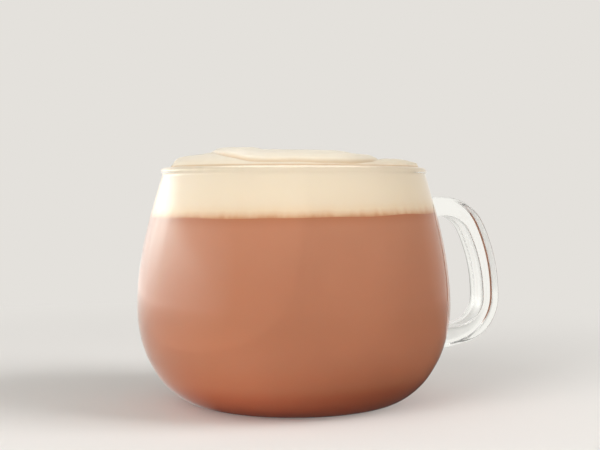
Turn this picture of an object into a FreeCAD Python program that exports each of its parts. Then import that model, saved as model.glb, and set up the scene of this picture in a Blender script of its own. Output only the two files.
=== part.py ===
import FreeCAD, Part
import math
import os

from FreeCAD import Vector

# A mocha latte in a round-bellied glass mug with a strap handle, in millimetres.
# The origin is the centre of the base, +Z is up and the handle points along +X.

# Glass body
foot_radius = 26.9            # flat ring that the mug stands on
belly_radius = 50.0           # widest part
belly_height = 31.2           # height of the widest part
mug_height = 75.0             # top of the lip
lip_radius = 1.25             # section of the fire-polished lip
lip_circle_radius = 41.2      # axis of the mug to the middle of the lip's section
lip_under_angle = 50.0        # the wall joins the lip this far below its outermost line
wall = 2.2
floor_thickness = 3.5
heel_reach = 0.562            # how far the base runs out flat before it curves up
heel_rise = 0.547             # how far down the belly stays upright
shoulder_rise = 0.380         # how far up the belly stays upright
neck_reach = 0.289            # how far down the neck keeps its slope
neck_slope = 0.295            # inward lean of the neck

# Handle: a flat strap on a path of straight runs and tangent arcs
strap_width = 10.0
strap_thickness = 6.4
strap_corner = 2.2
handle_drop = 12.85           # from the top of the lip down to the strap's upper root
handle_rise_angle = 4.8       # the strap leaves the wall this much above level
finger_gap = 16.5             # between the belly and the strap
handle_arcs = [(13.4, 67.5), (51.0, 27.8), (12.3, 82.1)]   # radius, turn in degrees
root_flare = 1.35             # size of the strap's ends where they melt into the wall
flare_length = 3.6            # how far out from the wall they widen

# Drink
drink_angle = -20.0           # the drink's high side, measured from the handle
foam_depth = 14.7             # from the top of the lip down to the latte, at the middle
latte_tilt = 0.014            # rise of that line towards the high side
latte_wave = 0.3              # its gentle unevenness
wave_length = 34.0

# Foam
crown_height = 4.6            # of the foam's dome above the lip
crown_fullness = 4.0          # how flat the dome stays before it drops to the lip
crown_roundness = 0.6
crown_lean = 0.25             # share of its height that the dome loses towards the high side
foam_edge_drop = 0.3          # the dome meets the glass this far below the lip's top
sample_step = 2.4             # spacing of the points that the wavy surfaces pass through

# Folds of foam: centre along and across the high side, radii, height, softness of the edge
foam_folds = [
    (-7.0, -3.0, 21.0, 32.5, 1.2, 0.16),
    (-1.0, -11.0, 24.5, 24.5, 0.5, 0.16),
    (24.0, 0.0, 11.0, 24.0, 0.3, 0.35),
]


def in_drawing(radius, height):
    """A point of the upright half section through the handle."""
    return Vector(radius, 0, height)


def bezier(*points):
    curve = Part.BezierCurve()
    curve.setPoles([in_drawing(radius, height) for radius, height in points])
    return curve.toShape()


def line(start, end):
    return Part.makeLine(in_drawing(*start), in_drawing(*end))


def wall_outline(foot, belly, bottom, top_radius, top):
    """The curve of the mug from its base up to its lip, as two smooth pieces."""
    below = belly_height - bottom
    above = top - belly_height
    lower = bezier(
        (foot, bottom),
        (foot + heel_reach * (belly - foot), bottom),
        (belly, belly_height - heel_rise * below),
        (belly, belly_height),
    )
    upper = bezier(
        (belly, belly_height),
        (belly, belly_height + shoulder_rise * above),
        (top_radius + neck_slope * neck_reach * above, top - neck_reach * above),
        (top_radius, top),
    )
    return [lower, upper]


def lip_point(angle):
    """A point on the lip's section, with the angle measured up from its outermost point."""
    turn = math.radians(angle)
    height = mug_height - lip_radius + lip_radius * math.sin(turn)
    return lip_circle_radius + lip_radius * math.cos(turn), height


def outer_outline():
    return wall_outline(foot_radius, belly_radius, 0, *lip_point(-lip_under_angle))


def inner_outline():
    return wall_outline(foot_radius - wall, belly_radius - wall, floor_thickness, *lip_point(180))


def turned(edges):
    """The solid made by turning a closed half section round the mug's axis."""
    section = Part.Face(Part.Wire(Part.__sortEdges__(edges)))
    return section.revolve(Vector(0, 0, 0), Vector(0, 0, 1), 360)


def mug_body():
    lip_points = [lip_point(angle) for angle in (-lip_under_angle, 90, 180)]
    lip = Part.Arc(*[in_drawing(*point) for point in lip_points]).toShape()
    base = [
        line((0, floor_thickness), (0, 0)),
        line((0, 0), (foot_radius, 0)),
        line((foot_radius - wall, floor_thickness), (0, floor_thickness)),
    ]
    return turned(base + outer_outline() + [lip] + inner_outline())


def room(top):
    """The inside of the mug, carried straight up past the lip to the given height."""
    rim = lip_point(180)
    edges = inner_outline() + [
        line(rim, (rim[0], top)),
        line((rim[0], top), (0, top)),
        line((0, top), (0, floor_thickness)),
        line((0, floor_thickness), (foot_radius - wall, floor_thickness)),
    ]
    return turned(edges)


def wall_middle(height):
    """The radius of the middle of the wall at a height, found by halving along the outline."""
    lower, upper = [edge.Curve for edge in outer_outline()]
    curve = lower if height < belly_height else upper
    below, above = 0.0, 1.0
    while above - below > 1e-6:
        middle = (below + above) / 2
        if curve.value(middle).z < height:
            below = middle
        else:
            above = middle
    return curve.value(below).x - wall / 2


def strap_section(place, heading, scale):
    """The strap's rounded rectangle, square to its path."""
    half_width = scale * strap_width / 2
    half_depth = scale * strap_thickness / 2
    corner = scale * strap_corner
    across = Vector(0, 1, 0)
    up = heading_vector(heading + math.pi / 2)
    edges = []
    turns = [(1, 1), (-1, 1), (-1, -1), (1, -1)]
    for side, level in turns:
        middle = place + across * side * (half_width - corner) + up * level * (half_depth - corner)
        ends = [across * side * corner, up * level * corner]
        if side * level < 0:
            ends.reverse()
        bulge = (ends[0] + ends[1]) * math.sqrt(0.5)
        edges.append(Part.Arc(middle + ends[0], middle + bulge, middle + ends[1]).toShape())
    sides = []
    for first, second in zip(edges, edges[1:] + edges[:1]):
        sides.append(Part.makeLine(first.lastVertex().Point, second.firstVertex().Point))
    return Part.Wire(Part.__sortEdges__(edges + sides))


def heading_vector(heading):
    return Vector(math.cos(heading), 0, math.sin(heading))


def arcs_reach(heading):
    """How far out the arcs carry the strap, from a heading until it points straight down."""
    reach = 0.0
    for radius, turn in handle_arcs:
        turned_to = max(heading - math.radians(turn), -math.pi / 2)
        reach += radius * (math.sin(heading) - math.sin(turned_to))
        heading = turned_to
    return reach


def handle_path():
    """The middle of the strap from the upper root round to the lower one, and its two ends."""
    heading = math.radians(handle_rise_angle)
    height = mug_height - handle_drop
    place = in_drawing(wall_middle(height), height)
    start = (place, heading)
    outermost = belly_radius + finger_gap + strap_thickness / 2
    top_run = (outermost - arcs_reach(heading) - place.x) / math.cos(heading)
    run_end = place + heading_vector(heading) * top_run
    edges = [Part.makeLine(place, run_end)]
    place = run_end
    for radius, turn in handle_arcs:
        centre = place + heading_vector(heading - math.pi / 2) * radius
        stops = []
        for part in (0.5, 1.0):
            outward = heading_vector(heading - math.radians(turn) * part + math.pi / 2)
            stops.append(centre + outward * radius)
        edges.append(Part.Arc(place, *stops).toShape())
        place = stops[1]
        heading -= math.radians(turn)
    low_run = (wall_middle(place.z) - place.x) / math.cos(heading)
    end = place + heading_vector(heading) * low_run
    edges.append(Part.makeLine(place, end))
    return edges, start, (end, heading + math.pi)


def handle_root(place, heading):
    """One end of the strap, widening smoothly towards the wall."""
    ahead = heading_vector(heading)
    reach = wall / 2 + flare_length
    sections = []
    for part in (0.0, 0.3, 0.65, 1.0):
        scale = 1 + (root_flare - 1) * (1 - part) ** 2
        sections.append(strap_section(place + ahead * reach * part, heading, scale))
    return Part.makeLoft(sections, True)


def handle():
    edges, start, end = handle_path()
    strap = Part.Wire(edges).makePipeShell([strap_section(*start, 1.0)], True, False)
    return strap.fuse([handle_root(*start), handle_root(*end)])


def along_high_side(x, y):
    """A place in the mug, as distances towards the drink's high side and across it."""
    turn = math.radians(drink_angle)
    return x * math.cos(turn) + y * math.sin(turn), y * math.cos(turn) - x * math.sin(turn)


def latte_surface(x, y):
    along, across = along_high_side(x, y)
    wave = math.sin(2 * math.pi * along / wave_length + 1.1) * math.cos(2 * math.pi * across / wave_length)
    return mug_height - foam_depth + latte_tilt * along + latte_wave * wave


def fold(along, across, middle_along, middle_across, reach_along, reach_across, height, softness):
    """A low pillow of foam with a steep soft edge."""
    out = math.hypot((along - middle_along) / reach_along, (across - middle_across) / reach_across)
    inside = min(max((1 - out) / softness, 0), 1)
    return height * inside * inside * (3 - 2 * inside)


def foam_surface(x, y):
    along, across = along_high_side(x, y)
    edge_radius = lip_point(180)[0]
    out = min(math.hypot(x, y) / edge_radius, 1)
    dome = crown_height * (1 - out ** crown_fullness) ** crown_roundness
    dome *= 1 - crown_lean * along / edge_radius
    folds = sum(fold(along, across, *shape) for shape in foam_folds)
    return mug_height - foam_edge_drop + dome + folds


def surface_face(height_at):
    """A smooth face through the heights of a square grid that is wider than the mug."""
    count = math.ceil(2 * belly_radius / sample_step)
    places = [(2 * index / count - 1) * belly_radius for index in range(count + 1)]
    surface = Part.BSplineSurface()
    surface.interpolate([[Vector(x, y, height_at(x, y)) for y in places] for x in places])
    return surface.toShape()


def glass_mug(inside):
    strap = handle().cut(inside)
    return mug_body().fuse(strap).removeSplitter()


def latte(inside, line_face):
    return inside.common(line_face.extrude(Vector(0, 0, -mug_height)))


def milk_foam(inside, line_face):
    above_line = inside.common(line_face.extrude(Vector(0, 0, mug_height)))
    return above_line.common(surface_face(foam_surface).extrude(Vector(0, 0, -mug_height)))


def main():
    os.makedirs("parts", exist_ok=True)
    inside = room(2 * mug_height)
    line_face = surface_face(latte_surface)
    nodes = {
        "glass_mug": glass_mug(inside),
        "latte": latte(inside, line_face),
        "milk_foam": milk_foam(inside, line_face),
    }
    for node, shape in nodes.items():
        solids = shape.Solids
        print(node, "solids", len(solids), "valid", shape.isValid(), "volume", round(shape.Volume))
        solids[0].exportStep("parts/" + node + ".step")


main()
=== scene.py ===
import functools
import math

import bmesh
import bpy
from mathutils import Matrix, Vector, noise


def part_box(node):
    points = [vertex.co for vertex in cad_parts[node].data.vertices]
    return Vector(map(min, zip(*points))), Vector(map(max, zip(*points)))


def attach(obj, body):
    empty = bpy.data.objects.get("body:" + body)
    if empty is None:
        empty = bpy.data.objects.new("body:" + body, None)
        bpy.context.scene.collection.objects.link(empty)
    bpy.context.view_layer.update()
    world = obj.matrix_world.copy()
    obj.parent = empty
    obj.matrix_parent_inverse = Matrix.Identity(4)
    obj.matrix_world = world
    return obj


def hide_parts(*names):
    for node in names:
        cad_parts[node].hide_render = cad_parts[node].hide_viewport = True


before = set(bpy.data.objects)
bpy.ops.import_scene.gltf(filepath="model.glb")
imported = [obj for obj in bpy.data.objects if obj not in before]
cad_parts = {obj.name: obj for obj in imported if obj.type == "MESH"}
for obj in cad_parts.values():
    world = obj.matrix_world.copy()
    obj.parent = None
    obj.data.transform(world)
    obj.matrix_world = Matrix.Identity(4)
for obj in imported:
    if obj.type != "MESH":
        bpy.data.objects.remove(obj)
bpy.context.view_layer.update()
bpy.ops.object.select_all(action="DESELECT")

mm = 0.001    # lengths in the dictionaries of the mug, the drink and the foam are millimetres


def linearColour(hexColour):    # sRGB hex to the linear colour that shaders take
    channels = [int(hexColour[start:start + 2], 16) / 255 for start in (0, 2, 4)]
    linear = [c / 12.92 if c <= 0.04045 else ((c + 0.055) / 1.055) ** 2.4 for c in channels]
    return (*linear, 1.0)


def addNode(tree, kind, inputs=None, stops=(), blend="EASE", **settings):
    # a node with its settings, its values and links, and a ramp's stops as (place, hex colour)
    node = tree.nodes.new("ShaderNode" + kind)
    for setting, value in settings.items():
        setattr(node, setting, value)
    for socket, value in (inputs or {}).items():
        if isinstance(value, bpy.types.NodeSocket):
            tree.links.new(value, node.inputs[socket])
        else:
            node.inputs[socket].default_value = value
    if stops:
        node.color_ramp.interpolation = blend
        elements = node.color_ramp.elements
        while len(elements) < len(stops):
            elements.new(0.5)
        for element, (place, hexColour) in zip(elements, stops):
            element.position = place
            element.color = linearColour(hexColour)
    return node


def newMaterial(name):
    material = bpy.data.materials.new(name)
    material.use_nodes = True
    material.node_tree.nodes.clear()
    return material, material.node_tree


def smoothStep(value):
    value = min(max(value, 0.0), 1.0)
    return value * value * (3 - 2 * value)


def growRings(name, segments, profile):    # a circle extruded and resized from ring to ring, in mm
    radius, height = profile[0]
    bpy.ops.mesh.primitive_circle_add(
        vertices=segments, radius=radius * mm, location=(0, 0, height * mm)
    )
    piece = bpy.context.object
    piece.name = name
    piece.data.name = name
    bpy.ops.object.transform_apply(location=True, rotation=True, scale=True)
    bpy.ops.object.mode_set(mode="EDIT")
    bpy.ops.mesh.select_all(action="SELECT")
    for nextRadius, nextHeight in profile[1:]:
        rise = (0, 0, (nextHeight - height) * mm)
        bpy.ops.mesh.extrude_region_move(TRANSFORM_OT_translate={"value": rise})
        grow = nextRadius / radius
        bpy.ops.transform.resize(value=(grow, grow, 1), center_override=(0, 0, nextHeight * mm))
        radius, height = nextRadius, nextHeight
    bpy.ops.mesh.merge(type="CENTER")    # the last ring closes to a pole
    bpy.ops.mesh.select_all(action="DESELECT")
    mesh = bmesh.from_edit_mesh(piece.data)
    mesh.verts.ensure_lookup_table()
    for vert in mesh.verts[:segments]:
        vert.select_set(True)
    mesh.select_flush(True)
    bmesh.update_edit_mesh(piece.data)
    bpy.ops.mesh.merge(type="CENTER")    # and so does the first
    bpy.ops.object.mode_set(mode="OBJECT")
    return piece


def turnOutward(piece):    # closes the seams and points every face outwards
    bpy.ops.object.select_all(action="DESELECT")
    piece.select_set(True)
    bpy.context.view_layer.objects.active = piece
    bpy.ops.object.mode_set(mode="EDIT")
    bpy.ops.mesh.select_all(action="SELECT")
    bpy.ops.mesh.remove_doubles(threshold=0.02 * mm)
    bpy.ops.mesh.normals_make_consistent(inside=False)
    bpy.ops.object.mode_set(mode="OBJECT")


def roundOff(piece, levels):
    bpy.ops.object.modifier_add(type="SUBSURF")
    rounding = piece.modifiers[-1]
    rounding.levels = levels
    rounding.render_levels = levels
    bpy.ops.object.modifier_apply(modifier=rounding.name)


# the mug's outline, which the drink and the foam follow too
mugLow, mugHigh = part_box("glass_mug")

outline = {
    "bellyRadius": -mugLow[0] / mm,
    "mugHeight": mugHigh[2] / mm,
    "footRadius": 26.9,
    "bellyHeight": 31.2,
    "lipRadius": 1.25,           # section of the rolled lip
    "lipCircleRadius": 41.2,     # mug's axis to the middle of the lip
    "lipUnderAngle": 50,         # where the wall joins the lip, below its widest line
    "wall": 2.2,
    "floor": 3.5,
    "heelReach": 0.562,          # the last five place the middle poles of the wall's two curves
    "heelRise": 0.547,
    "shoulderRise": 0.380,
    "neckReach": 0.289,
    "neckSlope": 0.295,
}


def lipPoint(degrees):
    turn = math.radians(degrees)
    radius = outline["lipRadius"]
    middle = outline["mugHeight"] - radius
    return outline["lipCircleRadius"] + radius * math.cos(turn), middle + radius * math.sin(turn)


def wallCurves(inside):    # lower and upper curve of the wall, as four poles each
    thickness = outline["wall"] if inside else 0
    bottom = outline["floor"] if inside else 0
    foot = outline["footRadius"] - thickness
    belly = outline["bellyRadius"] - thickness
    widest = outline["bellyHeight"]
    neck, top = lipPoint(180 if inside else -outline["lipUnderAngle"])
    below, above = widest - bottom, top - widest
    heel = foot + outline["heelReach"] * (belly - foot)
    lean = outline["neckSlope"] * outline["neckReach"] * above
    lower = [
        (foot, bottom),
        (heel, bottom),
        (belly, widest - outline["heelRise"] * below),
        (belly, widest),
    ]
    upper = [
        (belly, widest),
        (belly, widest + outline["shoulderRise"] * above),
        (neck + lean, top - outline["neckReach"] * above),
        (neck, top),
    ]
    return lower, upper


def curvePoint(poles, along):    # a point of a Bezier curve, by its share of the way
    shares = ((1 - along) ** 3, 3 * along * (1 - along) ** 2, 3 * along ** 2 * (1 - along), along ** 3)
    return tuple(sum(share * pole[axis] for share, pole in zip(shares, poles)) for axis in (0, 1))


@functools.lru_cache(maxsize=None)
def wallPoint(height, inside):    # the wall's radius at a height, found by halving
    lower, upper = wallCurves(inside)
    poles = lower if height < outline["bellyHeight"] else upper
    start, end = 0.0, 1.0
    for _ in range(16):
        middle = (start + end) / 2
        if curvePoint(poles, middle)[1] < height:
            start = middle
        else:
            end = middle
    return curvePoint(poles, start)[0], height


# glass mug: a body grown ring by ring, and a strap bridged to its wall for the handle
glass = {
    "segments": 48,
    "levels": 2,                 # of subdivision
    "footRings": (2, 10, 19, 24.5),    # radii under the mug
    "heelRings": (0.0, 0.16, 0.3, 0.42, 0.52),    # shares of the wall's lower curve
    "wallRings": (26.6, 31.2, 35.8, 40.4, 45.0, 49.6, 54.0),    # heights between the strap's roots
    "neckRings": (69.2, 71.6),
    "lipRings": (-15, 25, 65, 105, 145, 180),    # degrees round the lip
    "innerRings": (71.4, 67.5, 63, 58, 52, 46, 40, 34, 28, 22, 17),
    "innerHeelRings": (0.48, 0.36, 0.24, 0.12, 0.0),
    "floorRings": (19, 11, 2),   # radii
    "upperRoot": 62.15,          # height of the strap's roots on the wall
    "lowerRoot": 18.2,
    "rootHalf": 3.9,             # half the height of each root's patch
    "rootOut": 2.4,              # how far out from the upper root the strap starts, and how far up
    "rootUp": 0.2,
    "rootStep": 2.6,             # each of the strap's last two steps, back to the wall
    "rootFlare": 1.16,           # how much thicker it is at either end
    "strapWidth": 10.0,
    "strapThickness": 6.4,
    "strapCorner": [(1.0, 0.42), (0.985, 0.95), (0.74, 1.0)],    # a quarter of the section, as shares
    "strapRise": 4.8,            # degrees above level at the upper root
    "topRun": 5.9,               # straight run from the wall to the first arc
    "arcs": [(13.4, 67.5, 5), (51.0, 27.8, 4), (12.3, 82.1, 6)],    # radius, turn, steps
}


def bodyProfile():    # the body's rings as (radius, height), from under the foot round to the inner floor
    half = glass["rootHalf"]
    patches = [
        (root - half, root - half / 2, root, root + half / 2, root + half)
        for root in (glass["lowerRoot"], glass["upperRoot"])
    ]
    heights = (*patches[0], *glass["wallRings"], *patches[1], *glass["neckRings"])
    outer = [(radius, 0) for radius in glass["footRings"]]
    outer += [curvePoint(wallCurves(False)[0], along) for along in glass["heelRings"]]
    outer += [wallPoint(height, False) for height in heights]
    lip = [lipPoint(angle) for angle in (-outline["lipUnderAngle"], *glass["lipRings"])]
    inner = [wallPoint(height, True) for height in glass["innerRings"]]
    inner += [curvePoint(wallCurves(True)[0], along) for along in glass["innerHeelRings"]]
    floor = [(radius, outline["floor"]) for radius in glass["floorRings"]]
    return outer + lip + inner + floor


def pushedOut(profile):    # control rings stand out by what the subdivision later pulls in
    around = 1 - (1 - math.cos(2 * math.pi / glass["segments"])) / 3
    result = [profile[0]]
    for before, here, after in zip(profile, profile[1:], profile[2:]):
        moved = [here[axis] - (before[axis] - 2 * here[axis] + after[axis]) / 6 for axis in (0, 1)]
        result.append(tuple(moved))
    result.append(profile[-1])
    return [(radius / around, max(height, 0)) for radius, height in result]


def openRoots(body):    # takes out the two patches of wall that the strap grows from
    bpy.ops.object.mode_set(mode="EDIT")
    bpy.ops.mesh.select_all(action="DESELECT")
    mesh = bmesh.from_edit_mesh(body.data)
    oneSegment = 2 * math.pi / glass["segments"]
    for face in mesh.faces:
        centre = face.calc_center_median() / mm
        outside = math.hypot(centre.x, centre.y) > wallPoint(centre.z, True)[0] + outline["wall"] / 2
        ahead = abs(math.atan2(centre.y, centre.x)) < oneSegment
        level = [abs(centre.z - glass[root]) < glass["rootHalf"] for root in ("upperRoot", "lowerRoot")]
        face.select_set(outside and ahead and any(level))
    bmesh.update_edit_mesh(body.data)
    bpy.ops.mesh.delete(type="FACE")
    bpy.ops.object.mode_set(mode="OBJECT")


def strapSteps():    # length, turn and growth of each step along the handle
    flare = glass["rootFlare"]
    steps = [(glass["topRun"] - glass["rootOut"], 0, 1 / flare)]
    for radius, turn, count in glass["arcs"]:
        turnStep = math.radians(turn / count)
        steps += [(2 * radius * math.sin(turnStep / 2), turnStep, 1)] * count
    return steps + [(glass["rootStep"], 0, 1), (glass["rootStep"], 0, flare)]


def pullStrap():    # a rounded section extruded and turned along the handle's path
    outFromAxis = wallPoint(glass["upperRoot"], False)[0] + glass["rootOut"]
    place = Vector((outFromAxis, 0, glass["upperRoot"] + glass["rootUp"]))
    heading = math.radians(glass["strapRise"])
    bpy.ops.mesh.primitive_circle_add(
        vertices=4 * len(glass["strapCorner"]), radius=mm, location=place * mm,
        rotation=(0, math.pi / 2 - heading, 0),
    )
    strap = bpy.context.object
    strap.name = "strap"
    bpy.ops.object.transform_apply(location=True, rotation=True, scale=True)
    bpy.ops.object.mode_set(mode="EDIT")
    mesh = bmesh.from_edit_mesh(strap.data)
    upward = Vector((-math.sin(heading), 0, math.cos(heading)))
    half = glass["strapCorner"] + [(-wide, thick) for wide, thick in reversed(glass["strapCorner"])]
    section = half + [(-wide, -thick) for wide, thick in half]
    for vert, (wide, thick) in zip(mesh.verts, section):    # the circle becomes a rounded rectangle
        across = Vector((0, wide * glass["strapWidth"] / 2, 0))
        vert.co = (place + across + upward * thick * glass["strapThickness"] / 2) * mm
    bmesh.update_edit_mesh(strap.data)
    bpy.ops.mesh.select_all(action="SELECT")
    flare = glass["rootFlare"]
    bpy.ops.transform.resize(value=(1, flare, flare), center_override=place * mm)
    for length, turn, grow in strapSteps():
        direction = heading - turn / 2
        forward = Vector((math.cos(direction), 0, math.sin(direction))) * length
        place = place + forward
        heading -= turn
        bpy.ops.mesh.extrude_region_move(TRANSFORM_OT_translate={"value": forward * mm})
        if turn:
            bpy.ops.transform.rotate(value=-turn, orient_axis="Y", center_override=place * mm)
        if grow != 1:
            bpy.ops.transform.resize(value=(grow, grow, grow), center_override=place * mm)
    bpy.ops.object.mode_set(mode="OBJECT")
    return strap


def joinStrap(body, strap):    # bridges each end of the strap to its hole in the wall
    bpy.ops.object.select_all(action="DESELECT")
    strap.select_set(True)
    body.select_set(True)
    bpy.context.view_layer.objects.active = body
    bpy.ops.object.join()
    halfway = (glass["upperRoot"] + glass["lowerRoot"]) / 2 * mm
    for isUpper in (True, False):
        bpy.ops.object.mode_set(mode="EDIT")
        bpy.ops.mesh.select_all(action="DESELECT")
        mesh = bmesh.from_edit_mesh(body.data)
        for edge in mesh.edges:
            middle = (edge.verts[0].co.z + edge.verts[1].co.z) / 2
            edge.select_set(edge.is_boundary and (middle > halfway) == isUpper)
        bmesh.update_edit_mesh(body.data)
        bpy.ops.mesh.bridge_edge_loops()
        bpy.ops.object.mode_set(mode="OBJECT")


def makeGlassMug():
    body = growRings("glassMug", glass["segments"], pushedOut(bodyProfile()))
    openRoots(body)
    joinStrap(body, pullStrap())
    turnOutward(body)
    roundOff(body, glass["levels"])
    bpy.ops.object.shade_smooth()
    print("glass mug:", len(body.data.polygons), "faces")
    return body


# latte: fills the glass up to a line that is a little tilted and wavy
drink = {
    "angle": -20,                # the drink's high side, in degrees from the handle
    "line": 59.9,                # height of the line between latte and foam
    "tilt": 0.018,               # how steeply the line rises towards the high side
    "wave": 0.3,                 # how far it swings up and down
    "waveLength": 34,
    "waveStart": 1.1,            # radians into the wave at the mug's axis
    "paintedBottomShade": -10.0,           # painted shade: how much the bottom darkens, per metre towards the high side
    "paintedShadeHeight": 17,         # over which that change dies out
    "reach": 0.25,               # how far drink and foam reach into the glass
    "nearWall": 0.8,             # share of the radius beyond which points keep to the wall
    "segments": 192,
    "floorRings": (2, 12, 20),   # radii
    "heelSteps": 13,
    "wallSteps": 14,
    "topRings": (0.85, 0.6, 0.3, 0.05),    # shares of the radius at the line
}


def highSide():    # level direction towards the drink's high side
    turn = math.radians(drink["angle"])
    return math.cos(turn), math.sin(turn)


def alongHighSide(x, y):    # the same place, counted along and across that direction
    cosine, sine = highSide()
    return x * cosine + y * sine, y * cosine - x * sine


def lineHeight(x, y):
    along, across = alongHighSide(x, y)
    turns = 2 * math.pi / drink["waveLength"]
    wave = math.sin(along * turns + drink["waveStart"]) * math.cos(across * turns)
    return drink["line"] + drink["tilt"] * along + drink["wave"] * wave


def followLine(piece, reachDown, reachUp):    # bends the flat line of a piece to the tilted, wavy one
    for vert in piece.data.vertices:
        x, y, height = vert.co / mm
        offset = height - drink["line"]
        share = smoothStep(1 - (offset / reachUp if offset > 0 else -offset / reachDown))
        newHeight = height + share * (lineHeight(x, y) - drink["line"])
        oldRadius = wallPoint(height, True)[0]
        grow = 1
        if math.hypot(x, y) > drink["nearWall"] * oldRadius:
            grow = wallPoint(newHeight, True)[0] / oldRadius
        vert.co = Vector((x * grow, y * grow, newHeight)) * mm


def makeLatte():
    line, reach = drink["line"], drink["reach"]
    heel, wall = drink["heelSteps"], drink["wallSteps"]
    profile = [(radius, outline["floor"] - reach) for radius in drink["floorRings"]]
    lower = wallCurves(True)[0]
    for step in range(heel):
        radius, height = curvePoint(lower, step / heel)
        profile.append((radius + reach * step / heel, height - reach * (1 - step / heel)))
    start = outline["bellyHeight"]
    for step in range(wall + 1):
        height = start + (line - start) * step / wall
        profile.append((wallPoint(height, True)[0] + reach, height))
    profile += [(wallPoint(line, True)[0] * share, line) for share in drink["topRings"]]
    piece = growRings("latteBody", drink["segments"], profile)
    followLine(piece, reachDown=12, reachUp=1)
    turnOutward(piece)
    bpy.ops.object.shade_smooth_by_angle(angle=math.radians(50))
    print("latte:", len(piece.data.polygons), "faces")
    return piece


# foam: a band inside the glass, and a crown of two layers that stands above the lip
foam = {
    "edgeRadius": 40.1,          # where the crown leaves the lip
    "edgeDrop": 0.45,            # how far below the top of the lip that is
    "ridge": [                   # place from the left of the mouth to the right, height of the lower layer
        (-40.1, 0.0), (-39.1, 0.2), (-37.6, 1.7), (-36.5, 3.0), (-34.9, 3.7), (-31.7, 4.2), (-28.1, 4.5),
        (-25.3, 4.5), (-19.6, 4.4), (-12.3, 4.5), (-9.3, 4.3), (0.0, 4.2), (11.2, 4.0), (16.7, 3.2),
        (24.5, 2.7), (28.7, 2.8), (31.8, 3.0), (36.6, 2.4), (38.6, 2.1), (39.7, 1.4), (40.1, 0.0),
    ],
    "fullness": 4.0,             # how square the crown is across the ridge
    "roundness": 0.6,
    "foldAlong": 26.8,           # the top layer is a rounded square, cut off left and right
    "foldAcross": 37.6,
    "foldCorners": (2.5, 3.0),   # how square the two near corners are, left and right
    "farCorners": 4,
    "farWander": 0.07,           # how unevenly its far side runs, as a share
    "foldInset": 2.0,            # least distance to the crown's edge
    "foldHeight": 1.5,
    "foldWidth": 3.6,
    "creaseDepth": 0.6,          # a crease runs along the fold, with a soft bulge inside it
    "creaseWidth": 0.55,
    "bulge": 0.45,
    "bulgeInset": 1.3,
    "bulgeWidth": 1.0,
    "farCrease": 0.25,           # share of crease and bulge that is left round the far side
    "nearStart": 0.55,           # where round the fold the near side starts, and how softly
    "nearFade": 0.35,
    "lobes": [                   # centre along and across, radii, height, softness
        (-18.5, -8.0, 10.0, 34.0, 0.6, 0.35),
        (30.0, -12.0, 9.0, 20.0, 0.25, 0.6),
    ],
    "bend": 6.0,                 # how far the ridge's steps wander sideways towards the back
    "bendStart": 18,
    "bendLength": 13,
    "unevenness": 0.35,
    "unevenLength": 9,
    "edgeFade": 4,               # strip along the lip in which the unevenness dies out
    "edgeShadeFadeOut": (75.1, 75.6),    # heights over which the painted shade line at the glass fades out
    "edgeShadeFadeIn": (74.4, 74.8),   # heights over which it fades in, above the band in the glass
    "baseRings": (0.05, 0.35, 0.7, 0.9),    # shares of the radius at the line
    "wallSteps": 16,
    "wallEnd": 1,                # how far below the middle of the lip the band ends
    "lipRings": [(0.15, -0.4), (0.1, 0.1), (-0.05, 0.55)],    # out and up from the inside of the lip
    "outerRings": 18,            # rings from the lip to the fold, closest at the fold
    "outerCrowding": 1.2,
    "innerRings": 60,            # rings from the fold to the middle, closest at the fold
    "innerCrowding": 1.8,
}


def foldRadius(angle):    # edge of the top layer, seen from the middle of the mouth
    along = math.cos(angle) / foam["foldAlong"]
    across = math.sin(angle) / foam["foldAcross"]
    power = foam["foldCorners"][along > 0] if across < 0 else foam["farCorners"]
    radius = (abs(along) ** power + abs(across) ** power) ** (-1 / power)
    radius *= 1 + foam["farWander"] * math.sin(3 * angle + 0.4) * max(math.sin(angle), 0)
    return min(radius, foam["edgeRadius"] - foam["foldInset"])


def ridgeHeight(along):    # smooth curve through the ridge's heights
    ridge = foam["ridge"]
    last = len(ridge) - 2
    spot = next((k for k in range(last) if ridge[k + 1][0] >= along), last)
    (start, low), (end, high) = ridge[spot], ridge[spot + 1]
    slopes = []
    for knot in (spot, spot + 1):
        before, after = ridge[max(knot - 1, 0)], ridge[min(knot + 1, last + 1)]
        slopes.append((after[1] - before[1]) / (after[0] - before[0]) * (end - start))
    share = min(max((along - start) / (end - start), 0), 1)
    square, cube = share ** 2, share ** 3
    return (
        low * (2 * cube - 3 * square + 1) + high * (3 * square - 2 * cube)
        + slopes[0] * (cube - 2 * square + share) + slopes[1] * (cube - square)
    )


def crownHeight(along, across):    # height of the foam above the crown's edge
    edge = foam["edgeRadius"]
    chord = math.sqrt(max(edge ** 2 - along ** 2, 0.01))
    dome = max(1 - (along ** 2 + across ** 2) / edge ** 2, 0)
    bend = foam["bend"] * math.sin((across + foam["bendStart"]) / foam["bendLength"]) * dome
    slope = (1 - min(abs(across) / chord, 1) ** foam["fullness"]) ** foam["roundness"]
    height = ridgeHeight(along + bend) * slope
    for middleAlong, middleAcross, reachAlong, reachAcross, lift, softness in foam["lobes"]:
        away = math.hypot((along - middleAlong) / reachAlong, (across - middleAcross) / reachAcross)
        height += lift * smoothStep((1 - away) / softness)
    radius = math.hypot(along, across)
    inside = foldRadius(math.atan2(across, along)) - radius
    height += foam["foldHeight"] * smoothStep(inside / foam["foldWidth"])
    rough = noise.noise(Vector((along, across, 3)) / foam["unevenLength"])
    return height + foam["unevenness"] * rough * smoothStep((edge - radius) / foam["edgeFade"])


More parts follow.
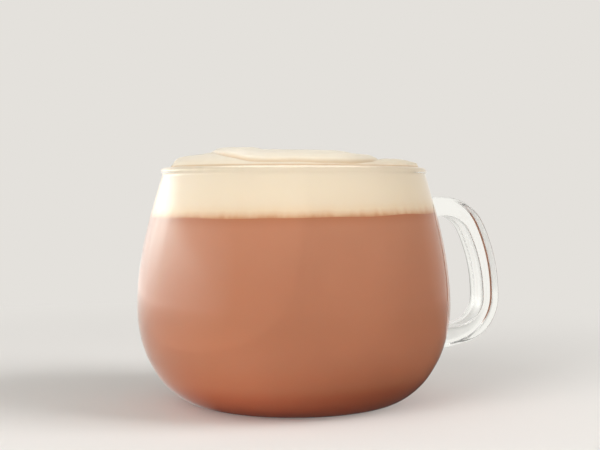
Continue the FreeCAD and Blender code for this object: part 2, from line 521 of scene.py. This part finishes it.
def crownPoint(ringNumber, x, y):    # place of a point of the foam above the lip
    along, across = alongHighSide(x, y)
    angle = math.atan2(across, along)
    edge, fold = foam["edgeRadius"], foldRadius(angle)
    outer, inner = foam["outerRings"], foam["innerRings"]
    if ringNumber < outer:
        radius = fold + (edge - fold) * (1 - ringNumber / outer) ** foam["outerCrowding"]
    else:
        radius = fold * (1 - ((ringNumber - outer) / (inner - 1)) ** foam["innerCrowding"])
    along, across = radius * math.cos(angle), radius * math.sin(angle)
    height = crownHeight(along, across)
    step = 0.1
    slopes = [crownHeight(along + step, across) - height, crownHeight(along, across + step) - height]
    outward = Vector((-slopes[0], -slopes[1], step)).normalized()
    inside = fold - radius
    near = smoothStep((-math.sin(angle) - foam["nearStart"]) / foam["nearFade"])
    share = foam["farCrease"] + (1 - foam["farCrease"]) * near    # deepest on the near side
    crease = foam["bulge"] * math.exp(-((inside - foam["bulgeInset"]) / foam["bulgeWidth"]) ** 2)
    crease -= foam["creaseDepth"] * math.exp(-(inside / foam["creaseWidth"]) ** 2)
    spot = Vector((along, across, height)) + outward * crease * share
    cosine, sine = highSide()
    return Vector((
        spot.x * cosine - spot.y * sine,
        spot.x * sine + spot.y * cosine,
        outline["mugHeight"] - foam["edgeDrop"] + spot.z,
    ))


def makeMilkFoam():
    line, reach = drink["line"], drink["reach"]
    lipRadius, lipHeight = lipPoint(180)
    profile = [(wallPoint(line, True)[0] * share, line) for share in foam["baseRings"]]
    for step in range(foam["wallSteps"] + 1):
        height = line + (lipHeight - foam["wallEnd"] - line) * step / foam["wallSteps"]
        profile.append((wallPoint(height, True)[0] + reach, height))
    profile += [(lipRadius + outward, lipHeight + upward) for outward, upward in foam["lipRings"]]
    crownStart = len(profile)
    rings = foam["outerRings"] + foam["innerRings"]
    # the crown's rings start level, and crownPoint shapes them
    profile += [(foam["edgeRadius"] * (1 - step / (rings + 1)), lipHeight + 2) for step in range(rings)]
    piece = growRings("milkFoam", drink["segments"], profile)
    followLine(piece, reachDown=1, reachUp=9)
    for vert in piece.data.vertices:
        ringNumber = (vert.index - 1) // drink["segments"] + 1 - crownStart    # the first vertex is a pole
        if ringNumber >= 0:
            x, y, height = vert.co / mm
            vert.co = crownPoint(ringNumber, x, y) * mm
    turnOutward(piece)
    bpy.ops.object.shade_smooth_by_angle(angle=math.radians(70))
    print("milk foam:", len(piece.data.polygons), "faces")
    return piece


def drinkHeight(tree):    # height above the tilted line between latte and foam, in metres
    place = addNode(tree, "TexCoord").outputs["Object"]
    cosine, sine = highSide()
    slope = (drink["tilt"] * cosine, drink["tilt"] * sine, 0)
    rise = addNode(tree, "VectorMath", {0: place, 1: slope}, operation="DOT_PRODUCT")
    z = addNode(tree, "SeparateXYZ", {0: place}).outputs["Z"]
    level = addNode(tree, "Math", {0: z, 1: rise.outputs["Value"]}, operation="SUBTRACT")
    above = addNode(tree, "Math", {0: level.outputs[0], 1: drink["line"] * mm}, operation="SUBTRACT")
    return above.outputs[0], place


def borosilicateGlass():    # blown borosilicate: water clear, hard bright edges, lamps pass through
    material, tree = newMaterial("borosilicateGlass")
    glassShader = addNode(tree, "BsdfPrincipled", {
        "Base Color": linearColour("fbfdfc"),
        "Roughness": 0.0,
        "IOR": 1.47,
        "Transmission Weight": 1.0,
    })
    clear = addNode(tree, "BsdfTransparent", {"Color": linearColour("f4f7f6")})
    path = addNode(tree, "LightPath")
    mix = addNode(tree, "MixShader", {0: path.outputs["Is Shadow Ray"], 1: glassShader.outputs[0]})
    tree.links.new(clear.outputs[0], mix.inputs[2])
    addNode(tree, "OutputMaterial", {"Surface": mix.outputs[0]})
    return material


def mochaLatte():    # coffee, milk and cocoa: opaque and soft, with painted shade that makes it darker and redder towards the bottom
    material, tree = newMaterial("mochaLatte")
    above, place = drinkHeight(tree)
    depth = addNode(tree, "MapRange", {"Value": above, "From Min": -57 * mm, "From Max": 0})
    # the ramp's low end is painted shade: darker and redder where the wall turns away from the lamps
    colour = addNode(tree, "ValToRGB", {"Fac": depth.outputs[0]}, stops=[
        (0.0, "bc644a"), (0.08, "bf6e50"), (0.17, "c57e5e"), (0.3, "c08062"), (0.5, "b87c5f"),
        (0.94, "bb8266"), (1.0, "b4785a"),
    ])
    # slow clouds of cocoa, about 22 mm across
    clouds = addNode(tree, "TexNoise", {"Vector": place, "Scale": 1 / (22 * mm), "Detail": 3.0})
    paler = addNode(tree, "MapRange", {
        "Value": clouds.outputs[0], "From Min": 0.3, "From Max": 0.7, "To Min": 0.97, "To Max": 1.03,
    })
    # painted shade: at the bottom the drink darkens towards the high side
    along = addNode(tree, "VectorMath", {0: place, 1: (*highSide(), 0)}, operation="DOT_PRODUCT")
    z = addNode(tree, "SeparateXYZ", {0: place}).outputs["Z"]
    low = addNode(tree, "MapRange", {
        "Value": z, "From Min": 0, "From Max": drink["paintedShadeHeight"] * mm,
        "To Min": drink["paintedBottomShade"], "To Max": 0.0,
    }, interpolation_type="SMOOTHSTEP")
    bottomShadeFactor = addNode(tree, "Math", {
        0: along.outputs["Value"], 1: low.outputs[0], 2: 1.0,
    }, operation="MULTIPLY_ADD")
    cloudsAndShade = addNode(tree, "Math", {0: bottomShadeFactor.outputs[0], 1: paler.outputs[0]}, operation="MULTIPLY")
    cloudy = addNode(tree, "VectorMath", {
        0: colour.outputs["Color"], "Scale": cloudsAndShade.outputs[0],
    }, operation="SCALE")
    shader = addNode(tree, "BsdfPrincipled", {
        "Base Color": cloudy.outputs[0],
        "Roughness": 0.6,
        "Specular IOR Level": 0.0,
        "Subsurface Weight": 0.15,
        "Subsurface Radius": (1.0, 0.5, 0.3),
        "Subsurface Scale": 1.5 * mm,
    })
    addNode(tree, "OutputMaterial", {"Surface": shader.outputs[0]})
    return material


def steamedMilkFoam():    # fine foam: cream white, matt, tan where it drinks up the coffee, with painted shade on its crown, in its folds and along the glass
    material, tree = newMaterial("steamedMilkFoam")
    above, place = drinkHeight(tree)
    # upright streaks where the coffee creeps up, about 2 mm wide
    upright = addNode(tree, "VectorMath", {0: place, 1: (1, 1, 0.3)}, operation="MULTIPLY")
    streaks = addNode(tree, "TexNoise", {
        "Vector": upright.outputs[0], "Scale": 1 / (2.2 * mm), "Detail": 4.0,
    })
    creep = addNode(tree, "MapRange", {
        "Value": streaks.outputs[0], "From Min": 0.3, "From Max": 0.7,
        "To Min": -0.35 * mm, "To Max": 0.35 * mm,
    })
    level = addNode(tree, "Math", {0: above, 1: creep.outputs[0]}, operation="ADD")
    rise = addNode(tree, "MapRange", {
        "Value": level.outputs[0], "From Min": -0.5 * mm, "From Max": 19.5 * mm,
    })
    # from 0.8 up, on the crown above the lip, the stops are painted a shade greyer than the band in the
    # glass, where the lamps fall full on the crown
    ramp = addNode(tree, "ValToRGB", {"Fac": rise.outputs[0]}, stops=[
        (0.0, "b97c56"), (0.03, "c89874"), (0.07, "dab898"), (0.13, "e4cfb3"), (0.22, "e5d4bd"),
        (0.36, "e5d5bf"), (0.73, "e4d4bf"), (0.8, "c9bda8"), (1.0, "d7cfc0"),
    ], blend="LINEAR")
    colour = ramp.outputs["Color"]
    # painted shade: the foam is darker and browner in the crease between its two layers
    openness = addNode(tree, "AmbientOcclusion", {
        "Color": colour, "Distance": 3.5 * mm,
    }, samples=8, only_local=True)
    creaseShade = addNode(tree, "MapRange", {
        "Value": openness.outputs["AO"], "From Min": 0.4, "From Max": 0.97, "To Min": 1.0, "To Max": 0.0,
    })
    shaded = addNode(tree, "Mix", {
        0: creaseShade.outputs[0], 6: colour, 7: linearColour("b99469"),
    }, data_type="RGBA")
    # painted shade: a thin tan line where the crown leaves the glass
    z = addNode(tree, "SeparateXYZ", {0: place}).outputs["Z"]
    lineLow, lineHigh = foam["edgeShadeFadeOut"]
    edgeShade = addNode(tree, "MapRange", {
        "Value": z, "From Min": lineLow * mm, "From Max": lineHigh * mm, "To Min": 0.75, "To Max": 0.0,
    })
    startLow, startHigh = foam["edgeShadeFadeIn"]
    crownOnly = addNode(tree, "MapRange", {
        "Value": z, "From Min": startLow * mm, "From Max": startHigh * mm,
    })
    edgeShadeShare = addNode(tree, "Math", {0: edgeShade.outputs[0], 1: crownOnly.outputs[0]}, operation="MULTIPLY")
    edged = addNode(tree, "Mix", {
        0: edgeShadeShare.outputs[0], 6: shaded.outputs[2], 7: linearColour("b08c66"),
    }, data_type="RGBA")
    # bubbles of 0.9 mm, coarser than real ones so that they show
    bubbles = addNode(tree, "TexVoronoi", {"Vector": place, "Scale": 1 / (0.9 * mm)}, feature="F1")
    grain = addNode(tree, "Bump", {
        "Height": bubbles.outputs["Distance"], "Strength": 0.08, "Distance": 0.1 * mm,
    })
    shader = addNode(tree, "BsdfPrincipled", {
        "Base Color": edged.outputs[2],
        "Roughness": 0.55,
        "Specular IOR Level": 0.2,
        "Subsurface Weight": 0.12,
        "Subsurface Radius": (1.0, 0.75, 0.5),
        "Subsurface Scale": 1.0 * mm,
        "Normal": grain.outputs[0],
    })
    addNode(tree, "OutputMaterial", {"Surface": shader.outputs[0]})
    return material


# stage, light and camera, in metres; the limits are cosines with a direction, or how steeply it rises
stage = {
    "paleColour": "e4e1dc",
    "paperColour": "eae8e5",
    "floorRadius": 3.0,
    "fadeStart": 0.09,           # distance from the mug where the floor starts to melt into the backdrop
    "fadeEnd": 0.34,
    "ambient": 0.5,              # strength of the backdrop as a light
    "softboxes": [               # name, degrees round from the camera, distance, height, size, watts
        ("mainSoftbox", -40, 1.2, 0.85, 0.9, 4.4),
        ("frontSoftbox", -42, 1.1, 0.22, 0.5, 10.6),
        ("sideSoftbox", 75, 1.2, 0.85, 0.8, 14.5),
    ],
    "behindWhite": 1.25,         # what glass shows of the backdrop
    "besideGrey": 0.12,          # and of the greyer studio beside it
    "besideLimits": (0.15, 0.6),
    "frontGrey": 0.25,           # reflections of the studio behind the camera
    "frontLimits": (0.4, 1.05),
    "overheadWhite": 6.0,        # and of the lamp cloth overhead, which draws the line along the lip
    "overheadLimits": (0.72, 0.9),
    "gleamTurn": -105,           # and of a paler side wall, degrees round from the camera
    "gleam": 2.6,
    "gleamLimits": (0.45, 1.0),
    "wallTop": (0.2, 0.6),
    "nearFloor": (0.05, 0.6),    # distances between which the mirrored floor brightens
    "nearDim": 0.3,              # its share of brightness close to the mug
    "glowTurn": -117,            # soft panel beside the mug: degrees round from the camera, distance, size
    "glowDistance": 0.30,
    "glowSize": (1.0, 0.26),
    "glowStrength": 6.0,
    "glowAcross": [              # brightest beside the mug, long and faint towards the camera
        (0.28, "000000"), (0.38, "8c8c8c"), (0.46, "e0e0e0"), (0.52, "ffffff"), (0.58, "d4d4d4"),
        (0.65, "b4b4b4"), (0.75, "909090"), (0.86, "5c5c5c"), (1.0, "000000"),
    ],
    "glowFoot": (-0.5, 0.1),     # fades in from its foot and out to its top, in its heights from the middle
    "glowTop": (-0.08, 0.14),
}

view = {
    "azimuth": -20,              # camera's place round the mug, degrees from straight in front
    "distance": 0.3582,
    "eyeHeight": 0.0673,
    "lens": 66.9,
    "lookDown": 1.69,
    "lookRight": 0.32,
}


def roundTheMug(degrees, distance, height):    # a place, counted round from the camera's side
    turn = math.radians(view["azimuth"] + degrees)
    return Vector((math.sin(turn) * distance, -math.cos(turn) * distance, height))


def facing(tree, direction, degrees):    # cosine between a direction and one round from the camera
    towards = roundTheMug(degrees, 1, 0)
    return addNode(tree, "VectorMath", {0: direction, 1: towards}, operation="DOT_PRODUCT").outputs["Value"]


def firstSight(tree, kind):    # 1 for a kind of ray that has met no matt surface since the camera
    path = addNode(tree, "LightPath")
    unscattered = addNode(tree, "Math", {0: path.outputs["Diffuse Depth"], 1: 0.5}, operation="LESS_THAN")
    share = addNode(tree, "Math", {0: path.outputs[kind], 1: unscattered.outputs[0]}, operation="MULTIPLY")
    if kind != "Is Glossy Ray":
        return share.outputs[0]
    through = path.outputs["Is Transmission Ray"]    # clear glass marks refracted rays as glossy too
    mirrored = addNode(tree, "Math", {
        0: share.outputs[0], 1: through,
    }, operation="SUBTRACT", use_clamp=True)
    return mirrored.outputs[0]


def mirroredStudio(tree, direction):    # what the glass reflects: bright backdrop behind, darker in front
    low, high = stage["frontLimits"]
    studio = addNode(tree, "MapRange", {
        "Value": facing(tree, direction, 180), "From Min": low, "From Max": high,
        "To Min": stage["frontGrey"], "To Max": stage["behindWhite"],
    })
    # a paler side wall, which the glow panel melts into and which fades towards its top
    low, high = stage["gleamLimits"]
    gleam = addNode(tree, "MapRange", {
        "Value": facing(tree, direction, stage["gleamTurn"]), "From Min": low, "From Max": high,
        "To Min": 0.0, "To Max": stage["gleam"],
    })
    low, high = stage["wallTop"]
    wallTop = addNode(tree, "MapRange", {
        "Value": addNode(tree, "SeparateXYZ", {0: direction}).outputs["Z"],
        "From Min": low, "From Max": high, "To Min": 1.0, "To Max": 0.1,
    }, interpolation_type="SMOOTHSTEP")
    pale = addNode(tree, "Math", {
        0: gleam.outputs[0], 1: wallTop.outputs[0], 2: studio.outputs[0],
    }, operation="MULTIPLY_ADD")
    return pale.outputs[0]


def bentStudio(tree, direction):    # what shows through the glass: white backdrop, grey at either side
    low, high = stage["besideLimits"]
    either = addNode(tree, "Math", {0: facing(tree, direction, 180)}, operation="ABSOLUTE")
    return addNode(tree, "MapRange", {
        "Value": either.outputs[0], "From Min": low, "From Max": high,
        "To Min": stage["besideGrey"], "To Max": stage["behindWhite"],
    }).outputs[0]


def palePaper():    # seamless studio paper: matt near the mug, melting into the backdrop further out
    material, tree = newMaterial("palePaper")
    pale = linearColour(stage["paleColour"])
    paper = addNode(tree, "BsdfDiffuse", {"Color": linearColour(stage["paperColour"])})
    place = addNode(tree, "TexCoord").outputs["Object"]
    bearing = addNode(tree, "VectorMath", {0: place}, operation="NORMALIZE").outputs[0]
    whiter = addNode(tree, "Mix", {
        0: firstSight(tree, "Is Transmission Ray"), 2: 1.0, 3: bentStudio(tree, bearing),
    }, data_type="FLOAT")
    backdrop = addNode(tree, "Emission", {"Color": pale, "Strength": whiter.outputs[0]})
    away = addNode(tree, "VectorMath", {0: place}, operation="LENGTH")
    fade = addNode(tree, "MapRange", {
        "Value": away.outputs["Value"], "From Min": stage["fadeStart"], "From Max": stage["fadeEnd"],
    }, interpolation_type="SMOOTHSTEP")
    seen = addNode(tree, "Math", {
        0: firstSight(tree, "Is Camera Ray"), 1: firstSight(tree, "Is Transmission Ray"),
    }, operation="MAXIMUM")
    share = addNode(tree, "Math", {0: fade.outputs[0], 1: seen.outputs[0]}, operation="MULTIPLY")
    surface = addNode(tree, "MixShader", {0: share.outputs[0], 1: paper.outputs[0], 2: backdrop.outputs[0]})
    start, end = stage["nearFloor"]
    near = addNode(tree, "MapRange", {
        "Value": away.outputs["Value"], "From Min": start, "From Max": end,
        "To Min": stage["nearDim"], "To Max": 1.0,
    })
    dim = addNode(tree, "Math", {
        0: mirroredStudio(tree, bearing), 1: near.outputs[0],
    }, operation="MULTIPLY")
    mirrored = addNode(tree, "Emission", {"Color": pale, "Strength": dim.outputs[0]})
    either = addNode(tree, "MixShader", {
        0: firstSight(tree, "Is Glossy Ray"), 1: surface.outputs[0], 2: mirrored.outputs[0],
    })
    addNode(tree, "OutputMaterial", {"Surface": either.outputs[0]})
    return material


def makeFloor():
    bpy.ops.mesh.primitive_plane_add(size=2 * stage["floorRadius"], location=(0, 0, 0))
    floor = bpy.context.object
    floor.name = "floor"
    floor.data.materials.append(palePaper())


def makeWorld():    # pale backdrop to the eye; glass sees it whiter, and a greyer studio beside it
    world = bpy.data.worlds.new("studio")
    bpy.context.scene.world = world
    world.use_nodes = True
    tree = world.node_tree
    tree.nodes.clear()
    direction = addNode(tree, "TexCoord").outputs["Generated"]
    up = addNode(tree, "SeparateXYZ", {0: direction}).outputs["Z"]
    low, high = stage["overheadLimits"]
    overhead = addNode(tree, "MapRange", {
        "Value": up, "From Min": low, "From Max": high, "To Min": 0.0, "To Max": stage["overheadWhite"],
    })
    mirrored = addNode(tree, "Math", {
        0: mirroredStudio(tree, direction), 1: overhead.outputs[0],
    }, operation="ADD")
    plain = addNode(tree, "MapRange", {
        "Value": firstSight(tree, "Is Camera Ray"), "To Min": stage["ambient"], "To Max": 1.0,
    })
    glossy = addNode(tree, "Mix", {
        0: firstSight(tree, "Is Glossy Ray"), 2: plain.outputs[0], 3: mirrored.outputs[0],
    }, data_type="FLOAT")
    strength = addNode(tree, "Mix", {
        0: firstSight(tree, "Is Transmission Ray"), 2: glossy.outputs[0], 3: bentStudio(tree, direction),
    }, data_type="FLOAT")
    colour = linearColour(stage["paleColour"])
    light = addNode(tree, "Background", {"Color": colour, "Strength": strength.outputs[0]})
    addNode(tree, "OutputWorld", {"Surface": light.outputs[0]})


def makeSoftboxes():
    for name, degrees, distance, height, size, watts in stage["softboxes"]:
        place = roundTheMug(degrees, distance, height)
        aim = (Vector((0, 0, 0.04)) - place).to_track_quat("-Z", "Y").to_euler()
        bpy.ops.object.light_add(type="AREA", location=place, rotation=aim)
        lamp = bpy.context.object
        lamp.name = name
        lamp.data.size = size
        lamp.data.energy = watts
        lamp.visible_camera = False
        lamp.visible_glossy = False
        lamp.visible_transmission = False


def lampCloth(width, height):    # white diffuser cloth: a soft glow without an edge, in reflections only
    material, tree = newMaterial("lampCloth")
    axes = addNode(tree, "SeparateXYZ", {0: addNode(tree, "TexCoord").outputs["Object"]})
    across = addNode(tree, "MapRange", {
        "Value": axes.outputs["X"], "From Min": -width / 2, "From Max": width / 2,
    })
    sides = addNode(tree, "ValToRGB", {"Fac": across.outputs[0]}, stops=stage["glowAcross"])
    start, end = stage["glowFoot"]
    foot = addNode(tree, "MapRange", {
        "Value": axes.outputs["Y"], "From Min": start * height, "From Max": end * height,
        "To Min": 0.0, "To Max": 1.0,
    }, interpolation_type="SMOOTHSTEP")
    start, end = stage["glowTop"]
    top = addNode(tree, "MapRange", {
        "Value": axes.outputs["Y"], "From Min": start * height, "From Max": end * height,
        "To Min": 1.0, "To Max": 0.0,
    }, interpolation_type="SMOOTHSTEP")
    upright = addNode(tree, "Math", {0: foot.outputs[0], 1: top.outputs[0]}, operation="MULTIPLY")
    share = addNode(tree, "Math", {
        0: sides.outputs["Color"], 1: upright.outputs[0],
    }, operation="MULTIPLY")
    glow = addNode(tree, "Emission", {"Color": linearColour("eefcf8"), "Strength": stage["glowStrength"]})
    clear = addNode(tree, "BsdfTransparent")
    shown = addNode(tree, "Math", {
        0: share.outputs[0], 1: firstSight(tree, "Is Glossy Ray"),
    }, operation="MULTIPLY")
    cloth = addNode(tree, "MixShader", {0: shown.outputs[0], 1: clear.outputs[0], 2: glow.outputs[0]})
    addNode(tree, "OutputMaterial", {"Surface": cloth.outputs[0]})
    return material


def makeGlowPanel():    # only its reflection shows: the soft upright gleam on the side of the mug
    width, height = stage["glowSize"]
    bpy.ops.mesh.primitive_plane_add(size=1, location=(0, 0, 0))
    panel = bpy.context.object
    panel.name = "glowPanel"
    panel.scale = (width, height, 1)
    bpy.ops.object.transform_apply(location=False, rotation=False, scale=True)
    panel.location = roundTheMug(stage["glowTurn"], stage["glowDistance"], height / 2)
    turn = math.radians(view["azimuth"] + stage["glowTurn"])
    panel.rotation_euler = (math.pi / 2, 0, turn)
    panel.data.materials.append(lampCloth(width, height))
    panel.visible_camera = False
    panel.visible_diffuse = False
    panel.visible_transmission = False
    panel.visible_shadow = False


def makeCamera():
    turn = math.radians(view["azimuth"] - view["lookRight"])
    place = roundTheMug(0, view["distance"], view["eyeHeight"])
    tilt = (math.radians(90 - view["lookDown"]), 0, turn)
    bpy.ops.object.camera_add(location=place, rotation=tilt)
    camera = bpy.context.object
    camera.data.lens = view["lens"]
    camera.data.clip_start = 0.01
    bpy.context.scene.camera = camera


def finishPiece(piece, node, material):
    piece.data.materials.clear()
    piece.data.materials.append(material)
    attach(piece, "root")
    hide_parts(node)


makeCamera()
makeFloor()
makeWorld()
makeSoftboxes()
makeGlowPanel()
print("stage, lights and camera are set")
finishPiece(makeGlassMug(), "glass_mug", borosilicateGlass())
finishPiece(makeLatte(), "latte", mochaLatte())
finishPiece(makeMilkFoam(), "milk_foam", steamedMilkFoam())

bpy.context.scene.view_settings.view_transform = "Standard"
print("finished")
